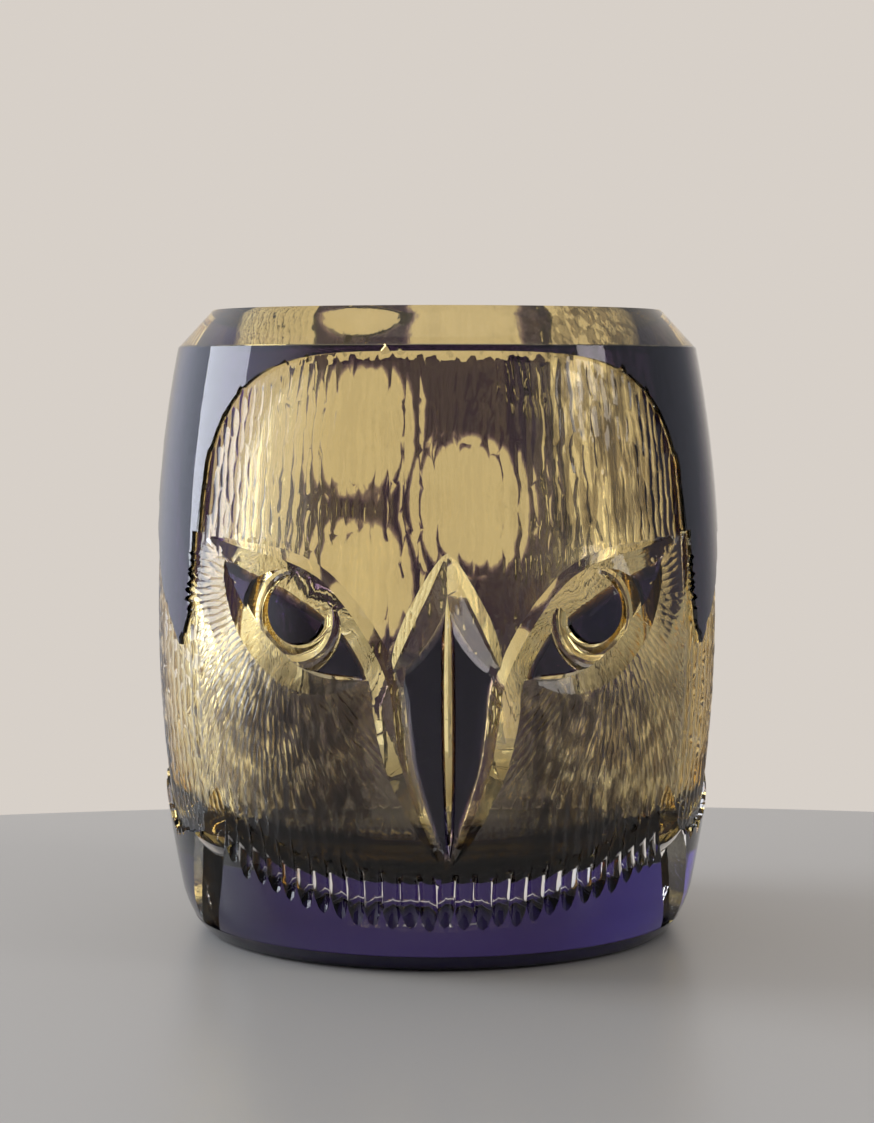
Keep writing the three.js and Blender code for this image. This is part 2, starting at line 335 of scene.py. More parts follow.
# the lines and outlines of the design, as (degrees from the face's centre line, height)
crest, tip = (0.0, 58.6), (0.6, 14.6)
face = dict(
    brow=[(54, 60), (43, 58.3), (33.5, 57), (26, 54.8), (21, 51.5), (17, 47.8), (13.5, 43.6), (11.2, 39.4),
          (10.3, 34.6), (9.1, 29.4), (6.8, 24.3), (3.8, 19.3), tip],
    leaf=[crest, (3, 53.6), (6.2, 49), (8.8, 45), (10.5, 42)],
    lid=[(48, 57.4), (44.8, 52.9), (41.3, 49.2), (37.1, 46), (32.7, 43.4), (27.8, 41.7), (22.5, 41),
         (15.6, 41.2)],
    iris=(29.2, 50.3), ring=(30.4, 49.2),        # middles of the iris and of the ring round it
    discHalf=56.0, discMiddle=46.5, discRise=39.2, discPower=4,
    smileFoot=7.0, smileRise=6.5, smileHalf=47.0, smilePower=2.2,
    crownEdge=[(54, 61), (57.3, 60.5), (57.5, 50), (62, 44), (72, 52), (80, 62), (84, 74)],
    crownMeets=55.5,                             # inside this angle the crown stops at the disc
    wedge=[(70, -4), (64, 5), (57, 15), (52, 25)],
)
# lower edge of the forehead's feathers, over the beak's leaf and along the brow
foreheadLow = face["leaf"][:-1] + [(10.6, 41.0)] + face["brow"][:8] + [(56, 60.5)]
# upper edge of the cheeks' feathers, up the side of the beak and along the eyelid
cheekHigh = [(0, 14.6)] + face["brow"][8:] + [(11.2, 38.5), (13, 40.6)] + face["lid"] + [(54, 60), (56, 60.5)]


def heights(route, degrees):
    # height along a route at given angles, the same on both sides of the centre line
    path = np.array(sorted(route), float)
    return np.interp(np.abs(degrees), path[:, 0], path[:, 1])


def discTop(degrees):
    # upper edge of the face disc, a rounded square: middle + rise x (1 - share ^ power) ^ (1 / power)
    share = np.clip(np.abs(degrees) / face["discHalf"], 0, 1)
    return face["discMiddle"] + face["discRise"] * (1 - share ** face["discPower"]) ** (1 / face["discPower"])


def discFoot(degrees):
    # lower edge of the feathers, a shallow smile: foot + rise x share ^ power
    share = np.abs(degrees) / face["smileHalf"]
    return face["smileFoot"] + face["smileRise"] * share ** face["smilePower"]


def crownLow(degrees):
    # lower edge of the violet crown: over the forehead, then a pointed lobe down each side
    side = edge(face["crownEdge"], np.abs(degrees))
    return np.where(np.abs(degrees) < face["crownMeets"], np.maximum(discTop(degrees), side), side)


rng = np.random.default_rng(20)
hand = dict(                                     # how a cut held to the wheel strays from its place and size
    lift=0.1, lean=0.06, long=(0.9, 1.12), wide=(0.92, 1.1), deep=(0.85, 1.15),
    shortColumn=1.2, shortHalf=0.6,              # a column shorter than this is one cut
)


def cutTable(rows):
    # one array for each property of the cuts: middle, heading, half length, half width and depth
    at, turn, long, wide, deep = zip(*rows)
    return dict(at=np.array(at), turn=np.array(turn), long=np.array(long), wide=np.array(wide),
                deep=np.array(deep))


def column(degrees, low, high, half, wide, deep, overlap=0.62, lean=hand["lean"], stagger=0.0, sway=0.0):
    # one column of upright cuts between two heights, close enough to leave nothing uncut between them;
    # stagger lowers the column by a share of a cut's length, and sway moves its cuts a little sideways
    low = low - 2 * half * overlap * stagger
    span = high - low
    count = max(1, int(np.ceil((span - 2 * half) / (2 * half * overlap))) + 1)
    if span < hand["shortColumn"] * half:
        half = max(hand["shortHalf"], span / 2)
        count = 1
    middles = np.linspace(low + half, high - half, count) if count > 1 else [(low + high) / 2]
    return [((arc(degrees) + rng.normal(0, 1) * sway, z + rng.normal(0, hand["lift"] * half) * (count > 2)),
             rng.normal(0, lean), half * rng.uniform(*hand["long"]), wide * rng.uniform(*hand["wide"]),
             deep * rng.uniform(*hand["deep"])) for z in middles]


forehead = dict(
    start=0.9, end=55,                           # degrees from the centre line
    fineFrom=18, fineOver=26,                    # where the strokes start to get finer, and over how far
    middle=(2.15, 3.7, 1.28, 0.06),              # column spacing, half length, half width and depth
    temple=(1.5, 2.9, 0.95, 0.11),
    footGap=0.4, topGap=0.2, raggedTop=0.25, shortest=1.5, long=(0.93, 1.07),
    overlap=0.88, stagger=0.5, sway=0.16,
)


def foreheadCuts():
    # columns of long upright strokes, every other one half a stroke lower; finer towards the temples
    rows = []
    angle = forehead["start"]
    odd = False
    while angle < forehead["end"]:
        share = np.clip((angle - forehead["fineFrom"]) / forehead["fineOver"], 0, 1)
        step, half, wide, deep = (forehead["middle"][k] * (1 - share) + forehead["temple"][k] * share
                                  for k in range(4))
        for side in (-1, 1):
            low = heights(foreheadLow, angle) + forehead["footGap"]
            high = discTop(angle) - forehead["topGap"] + rng.normal(0, forehead["raggedTop"])
            if high - low > forehead["shortest"]:
                rows += column(side * angle, low, high, half * rng.uniform(*forehead["long"]), wide, deep,
                               overlap=forehead["overlap"], stagger=forehead["stagger"] * odd,
                               sway=forehead["sway"] * wide)
        angle += np.degrees(step / body["waistRadius"])
        odd = not odd
    return cutTable(rows)


cheeks = dict(
    rings=(10.0, 34.0, 3.1), spacing=1.02,       # rings round the iris, and the step along each ring
    seam=0.4, lidGap=1.2, lowest=24, widest=56,  # what the cuts keep clear of
    swirl=0.2, lean=0.1,                         # radians off the way out from the iris
    half=2.8, wide=0.64, deep=0.08,
    longer=(0.8, 1.2), wider=(0.9, 1.1), deeper=(0.7, 1.3),
)


def cheekCuts():
    # hair-fine cuts that fan out from each eye below its lid
    rows = []
    for side in (-1, 1):
        u0, z0 = side * arc(face["iris"][0]), face["iris"][1]
        for ring in np.arange(*cheeks["rings"]):
            count = int(2 * np.pi * ring / cheeks["spacing"])
            for turn in np.linspace(0, 2 * np.pi, count, endpoint=False) + rng.uniform(0, 1):
                u, z = u0 + ring * np.sin(turn), z0 + ring * np.cos(turn)
                a = math.degrees(u / body["waistRadius"])
                beside = side * a > cheeks["seam"] and abs(a) < cheeks["widest"]
                if beside and cheeks["lowest"] < z < heights(cheekHigh, a) - cheeks["lidGap"]:
                    rows.append((
                        (u, z), turn + side * cheeks["swirl"] + rng.normal(0, cheeks["lean"]),
                        cheeks["half"] * rng.uniform(*cheeks["longer"]),
                        cheeks["wide"] * rng.uniform(*cheeks["wider"]),
                        cheeks["deep"] * rng.uniform(*cheeks["deeper"])))
    return cutTable(rows)


jaw = dict(
    span=(-54, 54.1, 2.7), shift=1.2,            # degrees
    footGap=6.4, top=26.5, topGap=0.8, shortest=3, half=2.8, wide=1.05, deep=0.11, overlap=0.6,
)


def jawCuts():
    # upright rows between the drops and the cheeks
    rows = []
    for a in np.arange(*jaw["span"]):
        low = discFoot(a) + jaw["footGap"]
        high = min(jaw["top"], heights(cheekHigh, a) - jaw["topGap"])
        if high - low > jaw["shortest"]:
            rows += column(a + jaw["shift"], low, high, jaw["half"], jaw["wide"], jaw["deep"],
                           overlap=jaw["overlap"])
    return cutTable(rows)


drops = dict(
    span=(-51.8, 52, 3.7),                       # degrees
    lift=4.9, uneven=0.2, lean=0.03, half=5.6, wide=1.66, deep=1.25, longer=(0.93, 1.07), wider=(0.95, 1.04),
)


def dropCuts():
    # the lowest row under the beak: long round drops along the smile, cut from the full surface
    return cutTable([
        ((arc(a), discFoot(a) + drops["lift"] + rng.normal(0, drops["uneven"])),
         rng.normal(0, drops["lean"]), drops["half"] * rng.uniform(*drops["longer"]),
         drops["wide"] * rng.uniform(*drops["wider"]), drops["deep"])
        for a in np.arange(*drops["span"])])


sides = dict(
    level=0.68,                                  # how far the cuts lower the sides below the uncut surface
    span=(57.5, 142.5, 2.9), drift=0.2,          # degrees
    foot=21.5, wave=5, waves=4,                  # the lower edge is a slow wave round the barrel
    behind=[(118, 30), (120, 44), (142, 62)],    # and climbs behind, where it gives way to the back panel
    crownEnd=84, top=85.2,
    footGap=0.5, topGap=0.2, raggedFoot=0.7, raggedTop=0.3,
    half=3.1, wide=1.3, deep=0.3, longer=(0.9, 1.1), overlap=0.6, lean=0.1,
)


def sideSpan(a):
    # lowest and highest point of the feathers on the sides
    low = sides["foot"] + sides["wave"] * np.sin(np.radians(a * sides["waves"]))
    low = np.where(a > sides["behind"][0][0], edge(sides["behind"], a), low)
    return low, np.where(a < sides["crownEnd"], crownLow(a), sides["top"])


def sideCuts():
    # feather rows round both sides and up behind the crown
    rows = []
    for side in (-1, 1):
        for a in np.arange(*sides["span"]):
            low, high = sideSpan(np.array(a))
            rows += column(side * (a + rng.normal(0, sides["drift"])),
                           low - sides["footGap"] + rng.normal(0, sides["raggedFoot"]),
                           high - sides["topGap"] + rng.normal(0, sides["raggedTop"]),
                           sides["half"] * rng.uniform(*sides["longer"]), sides["wide"], sides["deep"],
                           overlap=sides["overlap"], lean=sides["lean"])
    return cutTable(rows)


streaks = dict(
    span=(18.5, 61, 2.6), widenOver=32, drift=0.35,      # degrees from the back's middle
    foot=[(46, 18), (60, 30)], top=[(37, 84), (38, 62), (60, 44)],
    firstGap=5, gaps=(0.1, 1.6), half=(2.0, 4.2), lean=0.07, deep=0.95,
    # at the inner columns, and what the outermost ones have more
    length=(0.75, 0.5), width=(0.66, 0.3), chance=(0.3, 0.35),
)


def backCuts():
    # separate narrow cuts down both edges of the back panel, which leave violet streaks between them
    rows = []
    for side in (-1, 1):
        for a in np.arange(*streaks["span"]):
            share = min(1, (a - streaks["span"][0]) / streaks["widenOver"])
            length, width, chance = (near + more * share for near, more in (
                streaks["length"], streaks["width"], streaks["chance"]))
            z = edge(streaks["foot"], a) + rng.uniform(0, streaks["firstGap"])
            while z < edge(streaks["top"], a):
                half = rng.uniform(*streaks["half"]) * length
                if rng.uniform() < chance:
                    rows.append(((arc(180 - side * (a + rng.normal(0, streaks["drift"]))), z),
                                 rng.normal(0, streaks["lean"]), half, width, streaks["deep"]))
                z += 2 * half + rng.uniform(*streaks["gaps"])
    return cutTable(rows)


cutRows = [   # name, cuts, level they start from, rings and points round each, roundness of the bottom
    ("forehead", foreheadCuts(), textured, 3, 10, 4.0),
    ("cheeks", cheekCuts(), textured, 2, 8, 3.0),
    ("jaw", jawCuts(), textured, 2, 10, 3.0),
    ("drops", dropCuts(), 0.0, 4, 14, 2.0),
    ("sides", sideCuts(), sides["level"], 2, 8, 2.0),
    ("back", backCuts(), 0.0, 2, 8, 2.0),
]
print(f"cuts laid out: {sum(len(row[1]['deep']) for row in cutRows)}")

windows = dict(
    # degrees from the back's middle, height and half height
    places=[(19.5, 73.5, 11.8), (-10.8, 61, 11.8), (19.5, 48, 11.4)],
    depth=2.2, stretch=1.2, rings=6, around=56, collar=1.02,
)


def windowTool(deeper):
    # the shallow oval windows in the back
    angles, middles, halves = np.array(windows["places"], float).T
    angles = np.where(angles < 0, angles + 180, angles - 180)
    discs = dict(at=np.stack([arc(angles), middles], axis=-1), turn=0 * angles, long=halves,
                 wide=halves * windows["stretch"], deep=0 * angles + windows["depth"])
    shapes = bowls(discs, 0.0, rings=windows["rings"], around=windows["around"], collar=windows["collar"],
                   deeper=deeper)
    return bowlTool("tool", shapes, np.arange(len(angles)))


slabs = dict(                                    # even cuts that lower a whole field before its feathers
    outside=-1.0,                                # where they end, above the glass
    foreheadColumns=113,
    cheek=(0.4, 57.4, 94), cheekFoot=7.0,        # first and last angle, and columns
    side=(57, 143, 120), sideRows=20,
    eye=(14.0, 52.0, 60), eyeLeast=0.2,          # the opening between the brow and the eyelid
)


def foreheadSlab(deeper):
    a = np.linspace(-face["discHalf"], face["discHalf"], slabs["foreheadColumns"])
    return block("tool", arc(a), heights(foreheadLow, a), discTop(a), textured + deeper, slabs["outside"])


def cheekSlab(side, deeper):
    a = np.linspace(*slabs["cheek"])
    return block("tool", arc(side * a), discFoot(a) + slabs["cheekFoot"], heights(cheekHigh, a),
                 textured + deeper, slabs["outside"])


def sideSlab(side, deeper):
    a = np.linspace(*slabs["side"])
    low, high = sideSpan(a)
    return block("tool", arc(side * a), low, high, sides["level"] + deeper, slabs["outside"],
                 rows=slabs["sideRows"])


def eyeBlock(side, outer, inner):
    a = np.linspace(*slabs["eye"])
    low, high = heights(face["lid"], a), heights(face["brow"], a)
    return block("eye", arc(side * a), np.minimum(low, high - slabs["eyeLeast"]), high, inner, outer)


grooves = dict(                                  # half widths on each side of a groove's line, in mm
    stations=60,
    depth=1.6, shallow=1.5,                      # brow, then leaf and eyelid, below the level of the feathers
    browUpper=2.3, beakSide=2.0, turnAt=0.5, turnOver=0.1,      # past the eye, the brow runs down by the beak
    browLower=3.3, browCorner=1.6, cheekSide=2.6, lowerAt=[0.32, 0.46, 0.54, 0.64],
    leafOuter=1.5, leafInner=2.6,
    lidUpper=0.85, lidLower=3.2,
    wedgeHalf=4.2, wedgeDepth=3.6,
    irisRing=(4.4, 5.9, 1.2, 1.2),               # inner and outer radius, depth, roundness
    outerRing=(4.9, 8.2, 1.7, 2.0),
    ringLimit=(-2.0, 4.0),                       # depths that the rings are kept between
    beakLine=[(0, 58.6), (0.2, 36), tip], beakHalf=1.0, beakDepth=1.25,
    shortStations=24,
)


def grooveTools(deeper):
    t = np.linspace(0, 1, grooves["stations"])
    turnIn = np.clip((t - grooves["turnAt"]) / grooves["turnOver"], 0, 1)
    upper = grooves["browUpper"] * (1 - turnIn) + grooves["beakSide"] * turnIn
    lower = np.interp(t, grooves["lowerAt"], [grooves["browLower"], grooves["browCorner"],
                                              grooves["browCorner"], grooves["cheekSide"]])
    for side in (-1, 1):
        place = (lambda route: route) if side > 0 else mirrored
        for name, route, outer, inner, depth in (
                ("brow", face["brow"], upper, lower, grooves["depth"]),
                ("leaf", face["leaf"], grooves["leafInner"], grooves["leafOuter"], grooves["shallow"]),
                ("lid", face["lid"], grooves["lidUpper"], grooves["lidLower"], grooves["shallow"])):
            right, left = (outer, inner) if side > 0 else (inner, outer)
            yield name, closed(mitre(place(route), right, left, depth, count=grooves["stations"],
                                     deeper=deeper))
        for wedge in (face["wedge"], [(180 - a, z) for a, z in face["wedge"]]):
            yield "wedge", closed(mitre(place(wedge), grooves["wedgeHalf"], grooves["wedgeHalf"],
                                        grooves["wedgeDepth"], count=grooves["shortStations"], ends=(1, 0),
                                        level=0.0, deeper=deeper))
        for middle, (inner, outer, depth, power) in ((face["iris"], grooves["irisRing"]),
                                                     (face["ring"], grooves["outerRing"])):
            ring = closed(ringGroove((side * middle[0], middle[1]), inner, outer, depth, power=power,
                                     deeper=deeper))
            limit = eyeBlock(side, *grooves["ringLimit"])
            combine(ring, limit, "INTERSECT")
            discard(limit)
            yield "iris ring", ring
    yield "beak line", closed(mitre(grooves["beakLine"], grooves["beakHalf"], grooves["beakHalf"],
                                    grooves["beakDepth"], count=grooves["shortStations"], level=0.0,
                                    deeper=deeper))


def sharedTools(deeper):
    # every cutter that shapes both the clear body and the violet casing, one closed tool at a time
    yield "forehead level", foreheadSlab(deeper)
    for side in (-1, 1):
        yield "cheek level", cheekSlab(side, deeper)
        yield "side level", sideSlab(side, deeper)
    for name, cuts, level, rings, around, power in cutRows:
        group = untangled(cuts)
        shapes = bowls(cuts, level, rings=rings, around=around, power=power, deeper=deeper)
        for number in range(group.max() + 1):
            yield name, bowlTool("tool", shapes, np.flatnonzero(group == number))
    yield from grooveTools(deeper)
    yield "windows", windowTool(deeper)


def carve(piece, deeper):
    # takes every cutter off a piece in turn
    count = 0
    for name, tool in sharedTools(deeper):
        combine(piece, tool, "DIFFERENCE")
        discard(tool)
        count += 1
    print(f"{piece.name}: carved with {count} tools, {time.time() - started:.0f} s")


def smoothSharp(piece, degrees):
    piece.data.shade_smooth()
    piece.data.set_sharp_from_angle(angle=math.radians(degrees))


def wall(radiusAt, low, high, count, depth=0.0):
    # evenly spaced heights, each with the wall's radius there less the depth
    z = np.linspace(low, high, count)
    return [(radiusAt(h) - depth, h) for h in z]


def footCurve(depth, count=10):
    # the rounded foot: a quadratic curve from the base out to the barrel, moved inwards by depth
    t = np.linspace(0, 1, count)
    a, b = np.array([body["footRadius"], 0]), np.array(body["footBulge"])
    c = np.array([barrelRadius(body["footTop"]), body["footTop"]])
    path = a * (1 - t)[:, None] ** 2 + b * (2 * t * (1 - t))[:, None] + c * t[:, None] ** 2
    slope = (b - a) * (1 - t)[:, None] + (c - b) * t[:, None]
    aside = np.stack([-slope[:, 1], slope[:, 0]], axis=-1) / np.hypot(*slope.T)[:, None]
    path = path + aside * depth
    return [(r, max(z, depth)) for r, z in path]


def cavityBend(depth, count=12, under=None):
    # a quarter of an ellipse from the cavity wall down to its flat floor
    under = depth if under is None else under
    turn = np.linspace(0, np.pi / 2, count)
    reach = cavityRadius(body["floorBlend"]) + depth - body["floorRadius"]
    rise = body["floorBlend"] - body["floorHeight"] + under
    return [(body["floorRadius"] + reach * math.cos(t), body["floorBlend"] - rise * math.sin(t)) for t in turn]


def clearProfile():
    # the clear glass: out along the base, up the barrel, over the bevel and lip, and down into the cavity
    soft = body["rimSoftening"]
    return [
        (0, film), (body["baseRing"], film), *footCurve(film)[:-1],
        *wall(barrelRadius, body["footTop"], body["bevelFoot"], 54, film),
        (body["rimRadius"] + soft, rim - soft), (body["rimRadius"], rim),
        (body["lipInner"] + lining + film, rim), (body["lipInner"] + lining + film, rim - film),
        *wall(cavityRadius, rim - film, body["floorBlend"], 26, -film),
        *cavityBend(film)[1:], (0, body["floorHeight"] - film)]


def liningProfile():
    # the amber inside: up the cavity, over the lip, and down again a lining's thickness further out
    under = layers["floorLining"]
    return [
        (0, body["floorHeight"]), *cavityBend(0)[::-1],
        *wall(cavityRadius, body["floorBlend"], rim - layers["lipStart"], 40)[1:],
        *[(cavityRadius(rim) + out, rim - down) for out, down in layers["lipEdge"]],
        (body["lipInner"] + lining, rim),
        *wall(cavityRadius, rim - layers["lipBack"], body["floorBlend"], 30, -lining),
        *cavityBend(lining, under=under)[1:], (0, body["floorHeight"] - under)]


def shellProfile():
    # the violet casing before it is cut: a band of the barrel
    low, high = layers["casingFoot"], body["bevelFoot"]
    return [*wall(barrelRadius, low, high, 60), *wall(barrelRadius, high, low, 60, casing)]


def footProfile():
    # the violet under the base, up to where the rounded foot reaches its height
    outside = [p for p in footCurve(0, 16) if p[1] < layers["casingBase"]]
    inside = [p for p in footCurve(casing, 16) if p[1] < layers["casingBase"]]
    return [(0, 0), (body["baseRing"], 0), *outside, *inside[::-1], (body["baseRing"], casing), (0, casing)]


def looseParts(mesh):
    # the loose part of each vertex, and each part's signed volume times six: the lowest number of a part's
    # vertices spreads along its edges until every vertex holds it
    count = len(mesh.vertices)
    edges = np.empty(len(mesh.edges) * 2, np.int32)
    mesh.edges.foreach_get("vertices", edges)
    edges = edges.reshape(-1, 2)
    label = np.arange(count)
    while True:
        low = np.minimum(label[edges[:, 0]], label[edges[:, 1]])
        fresh = label.copy()
        np.minimum.at(fresh, edges[:, 0], low)
        np.minimum.at(fresh, edges[:, 1], low)
        fresh = fresh[fresh]
        if (fresh == label).all():
            break
        label = fresh
    corners, place = triangles(mesh)
    a, b, c = (place[corners[:, k]] for k in range(3))
    share = np.einsum("ij,ij->i", a, np.cross(b, c))
    return label, np.bincount(label[corners[:, 0]], weights=share, minlength=count), place


def extract(piece, mask, name):
    # a new object from the chosen vertices of a mesh
    fresh = bpy.data.objects.new(name, bpy.data.meshes.new(name))
    build = bmesh.new()
    build.from_mesh(piece.data)
    bmesh.ops.delete(build, geom=[v for v, kept in zip(list(build.verts), mask) if not kept], context="VERTS")
    build.to_mesh(fresh.data)
    build.free()
    bpy.context.scene.collection.objects.link(fresh)
    smoothSharp(fresh, panels["sharpAngle"])
    return fresh


panels = dict(                                   # the violet islands that the wheel leaves standing
    outside=-0.5, inside=1.2,                    # depths between which a region takes in the casing
    crownEnd=84, crownOverlap=0.4,
    backTop=[(0, 85.6), (37, 85.6), (38, 62), (60, 44)],      # degrees from the back's middle, height
    backFoot=[(0, 2.6), (44, 2.6), (46, 18), (60, 30)],
    beakEnd=12.5, leafEnd=(12.6, 40), leastBeak=0.1,
    beakFoot=[(0, 14.6), (0.6, 14.6), (3.8, 19.3), (6.8, 24.3), (9.1, 29.4), (10.3, 34.6), (11.2, 39.4),
              (12.6, 41.5)],
    eyeParts={"iris": (29.2, 49), "eye_outer": (43.5, 54.5), "eye_inner": (19.0, 43.5)},
    eyeCandidates=6, sizeWeight=0.1,
    sharpAngle=30,
)


def crownRegion():
    a = np.linspace(-panels["crownEnd"], panels["crownEnd"], 240)
    return block("region", arc(a), crownLow(a) - panels["crownOverlap"], 0 * a + body["bevelFoot"],
                 panels["outside"], panels["inside"], rows=24)


def backRegion():
    # the back panel is widest behind the cheeks
    a = np.linspace(-panels["backTop"][-1][0], panels["backTop"][-1][0], 140)
    low, high = edge(panels["backFoot"], np.abs(a)), edge(panels["backTop"], np.abs(a))
    return block("region", arc(180 + a), low, high, panels["outside"], panels["inside"], rows=40)


def beakRegion(side):
    a = np.linspace(0.0, panels["beakEnd"], 60)
    low = edge(panels["beakFoot"], a)
    high = np.maximum(heights(face["leaf"] + [panels["leafEnd"]], a), low + panels["leastBeak"])
    return block("region", arc(side * a), low, high, panels["outside"], panels["inside"])


def sheath(name, region, whole):
    # the part of the carved violet shell that lies in a region
    piece = bpy.data.objects.new(name, whole.data.copy())
    piece.data.name = name
    bpy.context.scene.collection.objects.link(piece)
    combine(piece, region, "INTERSECT")
    discard(region)
    return piece


crystal = turned("cut_crystal", clearProfile())
carve(crystal, film)
smoothSharp(crystal, 24)
amber = turned("amber_casing_inside", liningProfile(), around=layers["around"])
smoothSharp(amber, 40)
foot = turned("violet_base", footProfile(), around=layers["around"])
smoothSharp(foot, 40)


def newGroup(name, inputs, outputs):
    tree = bpy.data.node_groups.new(name, "ShaderNodeTree")
    for label, kind, value in inputs:
        socket = tree.interface.new_socket(label, in_out="INPUT", socket_type=kind)
        if value is not None:
            socket.default_value = value
    for label, kind in outputs:
        tree.interface.new_socket(label, in_out="OUTPUT", socket_type=kind)
    return tree, tree.nodes.new("NodeGroupInput"), tree.nodes.new("NodeGroupOutput")


def add(tree, kind, sockets=None, **settings):
    # a node with its settings and the values of its unlinked inputs
    node = tree.nodes.new(kind)
    for key, value in settings.items():
        setattr(node, key, value)
    for key, value in (sockets or {}).items():
        node.inputs[key].default_value = value
    return node


polish = dict(
    waveDetail=2.0, waveRoughness=0.5,
    lineDetail=3.0, lineRoughness=0.6, lineStretch=(1.0, 1.0, 0.12),       # the wheel's lines run upright
    smearSize=55.0, smearDetail=4.0, smearFrom=0.45, smearTo=0.8,
)


def polishGroup():
    # polished cut glass: a slow waviness, the fine lines a wheel leaves, and faint smears in the gloss
    tree, given, made = newGroup("wheel_polish", [
        ("Vector", "NodeSocketVector", None), ("Wave Size", "NodeSocketFloat", 320.0),
        ("Line Size", "NodeSocketFloat", 900.0), ("Line Share", "NodeSocketFloat", 0.2),
        ("Base Roughness", "NodeSocketFloat", 0.0), ("Smear", "NodeSocketFloat", 0.02)],
        [("Roughness", "NodeSocketFloat"), ("Height", "NodeSocketFloat")])
    link = tree.links.new
    waves = add(tree, "ShaderNodeTexNoise", {
        "Detail": polish["waveDetail"], "Roughness": polish["waveRoughness"]})
    link(given.outputs["Vector"], waves.inputs["Vector"])
    link(given.outputs["Wave Size"], waves.inputs["Scale"])
    squash = add(tree, "ShaderNodeVectorMath", {1: polish["lineStretch"]}, operation="MULTIPLY")
    link(given.outputs["Vector"], squash.inputs[0])
    lines = add(tree, "ShaderNodeTexNoise", {
        "Detail": polish["lineDetail"], "Roughness": polish["lineRoughness"]})
    link(squash.outputs[0], lines.inputs["Vector"])
    link(given.outputs["Line Size"], lines.inputs["Scale"])
    blend = add(tree, "ShaderNodeMix", data_type="FLOAT")
    link(given.outputs["Line Share"], blend.inputs[0])
    link(waves.outputs[0], blend.inputs[2])
    link(lines.outputs[0], blend.inputs[3])
    link(blend.outputs[0], made.inputs["Height"])
    smears = add(tree, "ShaderNodeTexNoise", {"Scale": polish["smearSize"], "Detail": polish["smearDetail"]})
    link(given.outputs["Vector"], smears.inputs["Vector"])
    shape = add(tree, "ShaderNodeMapRange", {1: polish["smearFrom"], 2: polish["smearTo"]}, clamp=True)
    link(smears.outputs[0], shape.inputs[0])
    link(given.outputs["Smear"], shape.inputs[4])
    total = add(tree, "ShaderNodeMath", operation="ADD")
    link(given.outputs["Base Roughness"], total.inputs[0])
    link(shape.outputs[0], total.inputs[1])
    link(total.outputs[0], made.inputs["Roughness"])
    return tree


# painted shade: a near-black colour mixed into the clear glass over the cheeks and one temple, standing in for
# shade
shadePaint = dict(
    colour=(0.09, 0.065, 0.06, 1.0),
    cheekShare=0.95,                             # how much painted shade darkens the clear glass over the cheeks
    templeShare=0.8,                             # and in the streaks over the right temple
    # where each edge of the two regions starts and ends, in metres
    front=(-0.016, -0.026), cheekFoot=(0.013, 0.020), cheekTop=(0.046, 0.036), cheekSide=(0.008, 0.013),
    templeFoot=(0.057, 0.063), templeSide=(0.006, 0.018),
    # noise size and upright stretch, and the noise values that the tint starts and ends at
    cheekStreaks=(760.0, 0.4, 0.36, 0.58), templeStreaks=(560.0, 0.16, 0.46, 0.54), streakDetail=3.0,
)


def shadePaintGroup():
    # painted shade: a dark colour painted into the clear glass over the cheeks, and in upright streaks over
    # one temple, standing in for shade there; each region is a product of ramps in x, y and z, broken up by
    # stretched noise
    tree, given, made = newGroup("painted_shade", [
        ("Vector", "NodeSocketVector", None), ("Painted Shade", "NodeSocketColor", shadePaint["colour"]),
        ("Cheek Share", "NodeSocketFloat", shadePaint["cheekShare"]),
        ("Temple Share", "NodeSocketFloat", shadePaint["templeShare"])], [("Color", "NodeSocketColor")])
    link = tree.links.new
    split = add(tree, "ShaderNodeSeparateXYZ")
    link(given.outputs["Vector"], split.inputs[0])

    def ramp(source, start, end):
        node = add(tree, "ShaderNodeMapRange", {1: min(start, end), 2: max(start, end), 3: float(start > end),
                                                4: float(start < end)}, interpolation_type="SMOOTHSTEP")
        link(source, node.inputs[0])
        return node.outputs[0]

    def joined(operation, *sources):
        total = sources[0]
        for source in sources[1:]:
            node = add(tree, "ShaderNodeMath", operation=operation)
            link(total, node.inputs[0])
            link(source, node.inputs[1])
            total = node.outputs[0]
        return total

    def broken(size, stretch, start, end):
        shape = add(tree, "ShaderNodeVectorMath", {1: (1, 1, stretch)}, operation="MULTIPLY")
        link(given.outputs["Vector"], shape.inputs[0])
        noise = add(tree, "ShaderNodeTexNoise", {"Scale": size, "Detail": shadePaint["streakDetail"]})
        link(shape.outputs[0], noise.inputs["Vector"])
        return ramp(noise.outputs[0], start, end)

    x, y, z = (split.outputs[axis] for axis in "XYZ")
    aside = add(tree, "ShaderNodeMath", operation="ABSOLUTE")
    link(x, aside.inputs[0])
    front = ramp(y, *shadePaint["front"])
    cheek = joined("MULTIPLY", front, ramp(z, *shadePaint["cheekFoot"]), ramp(z, *shadePaint["cheekTop"]),
                   ramp(aside.outputs[0], *shadePaint["cheekSide"]), broken(*shadePaint["cheekStreaks"]),
                   given.outputs["Cheek Share"])
    temple = joined("MULTIPLY", front, ramp(z, *shadePaint["templeFoot"]), ramp(x, *shadePaint["templeSide"]),
                    broken(*shadePaint["templeStreaks"]), given.outputs["Temple Share"])
    mix = add(tree, "ShaderNodeMix", data_type="RGBA")
    mix.inputs[6].default_value = (1, 1, 1, 1)
    link(joined("MAXIMUM", cheek, temple), mix.inputs[0])
    link(given.outputs["Painted Shade"], mix.inputs[7])
    link(mix.outputs[2], made.inputs["Color"])
    return tree


wheelPolish = polishGroup()
shadePaintTree = shadePaintGroup()
glassLooks = dict(
    ior=1.52,
    # the clear glass carries painted shade in its colour
    clear=dict(wave=320.0, bump=0.00002, lineShare=0.2, shadePainted=True),
    amber=dict(colour=(1.0, 0.78, 0.0), density=410.0, wave=140.0, bump=0.00003, lineShare=0.05),
    violet=dict(colour=(0.12, 0.0, 0.43), density=6000.0, wave=180.0, bump=0.00001, lineShare=0.1),
    smear=0.02,
)   # densities are per metre; the violet is only 0.6 mm thick, and the bump's depth is in metres


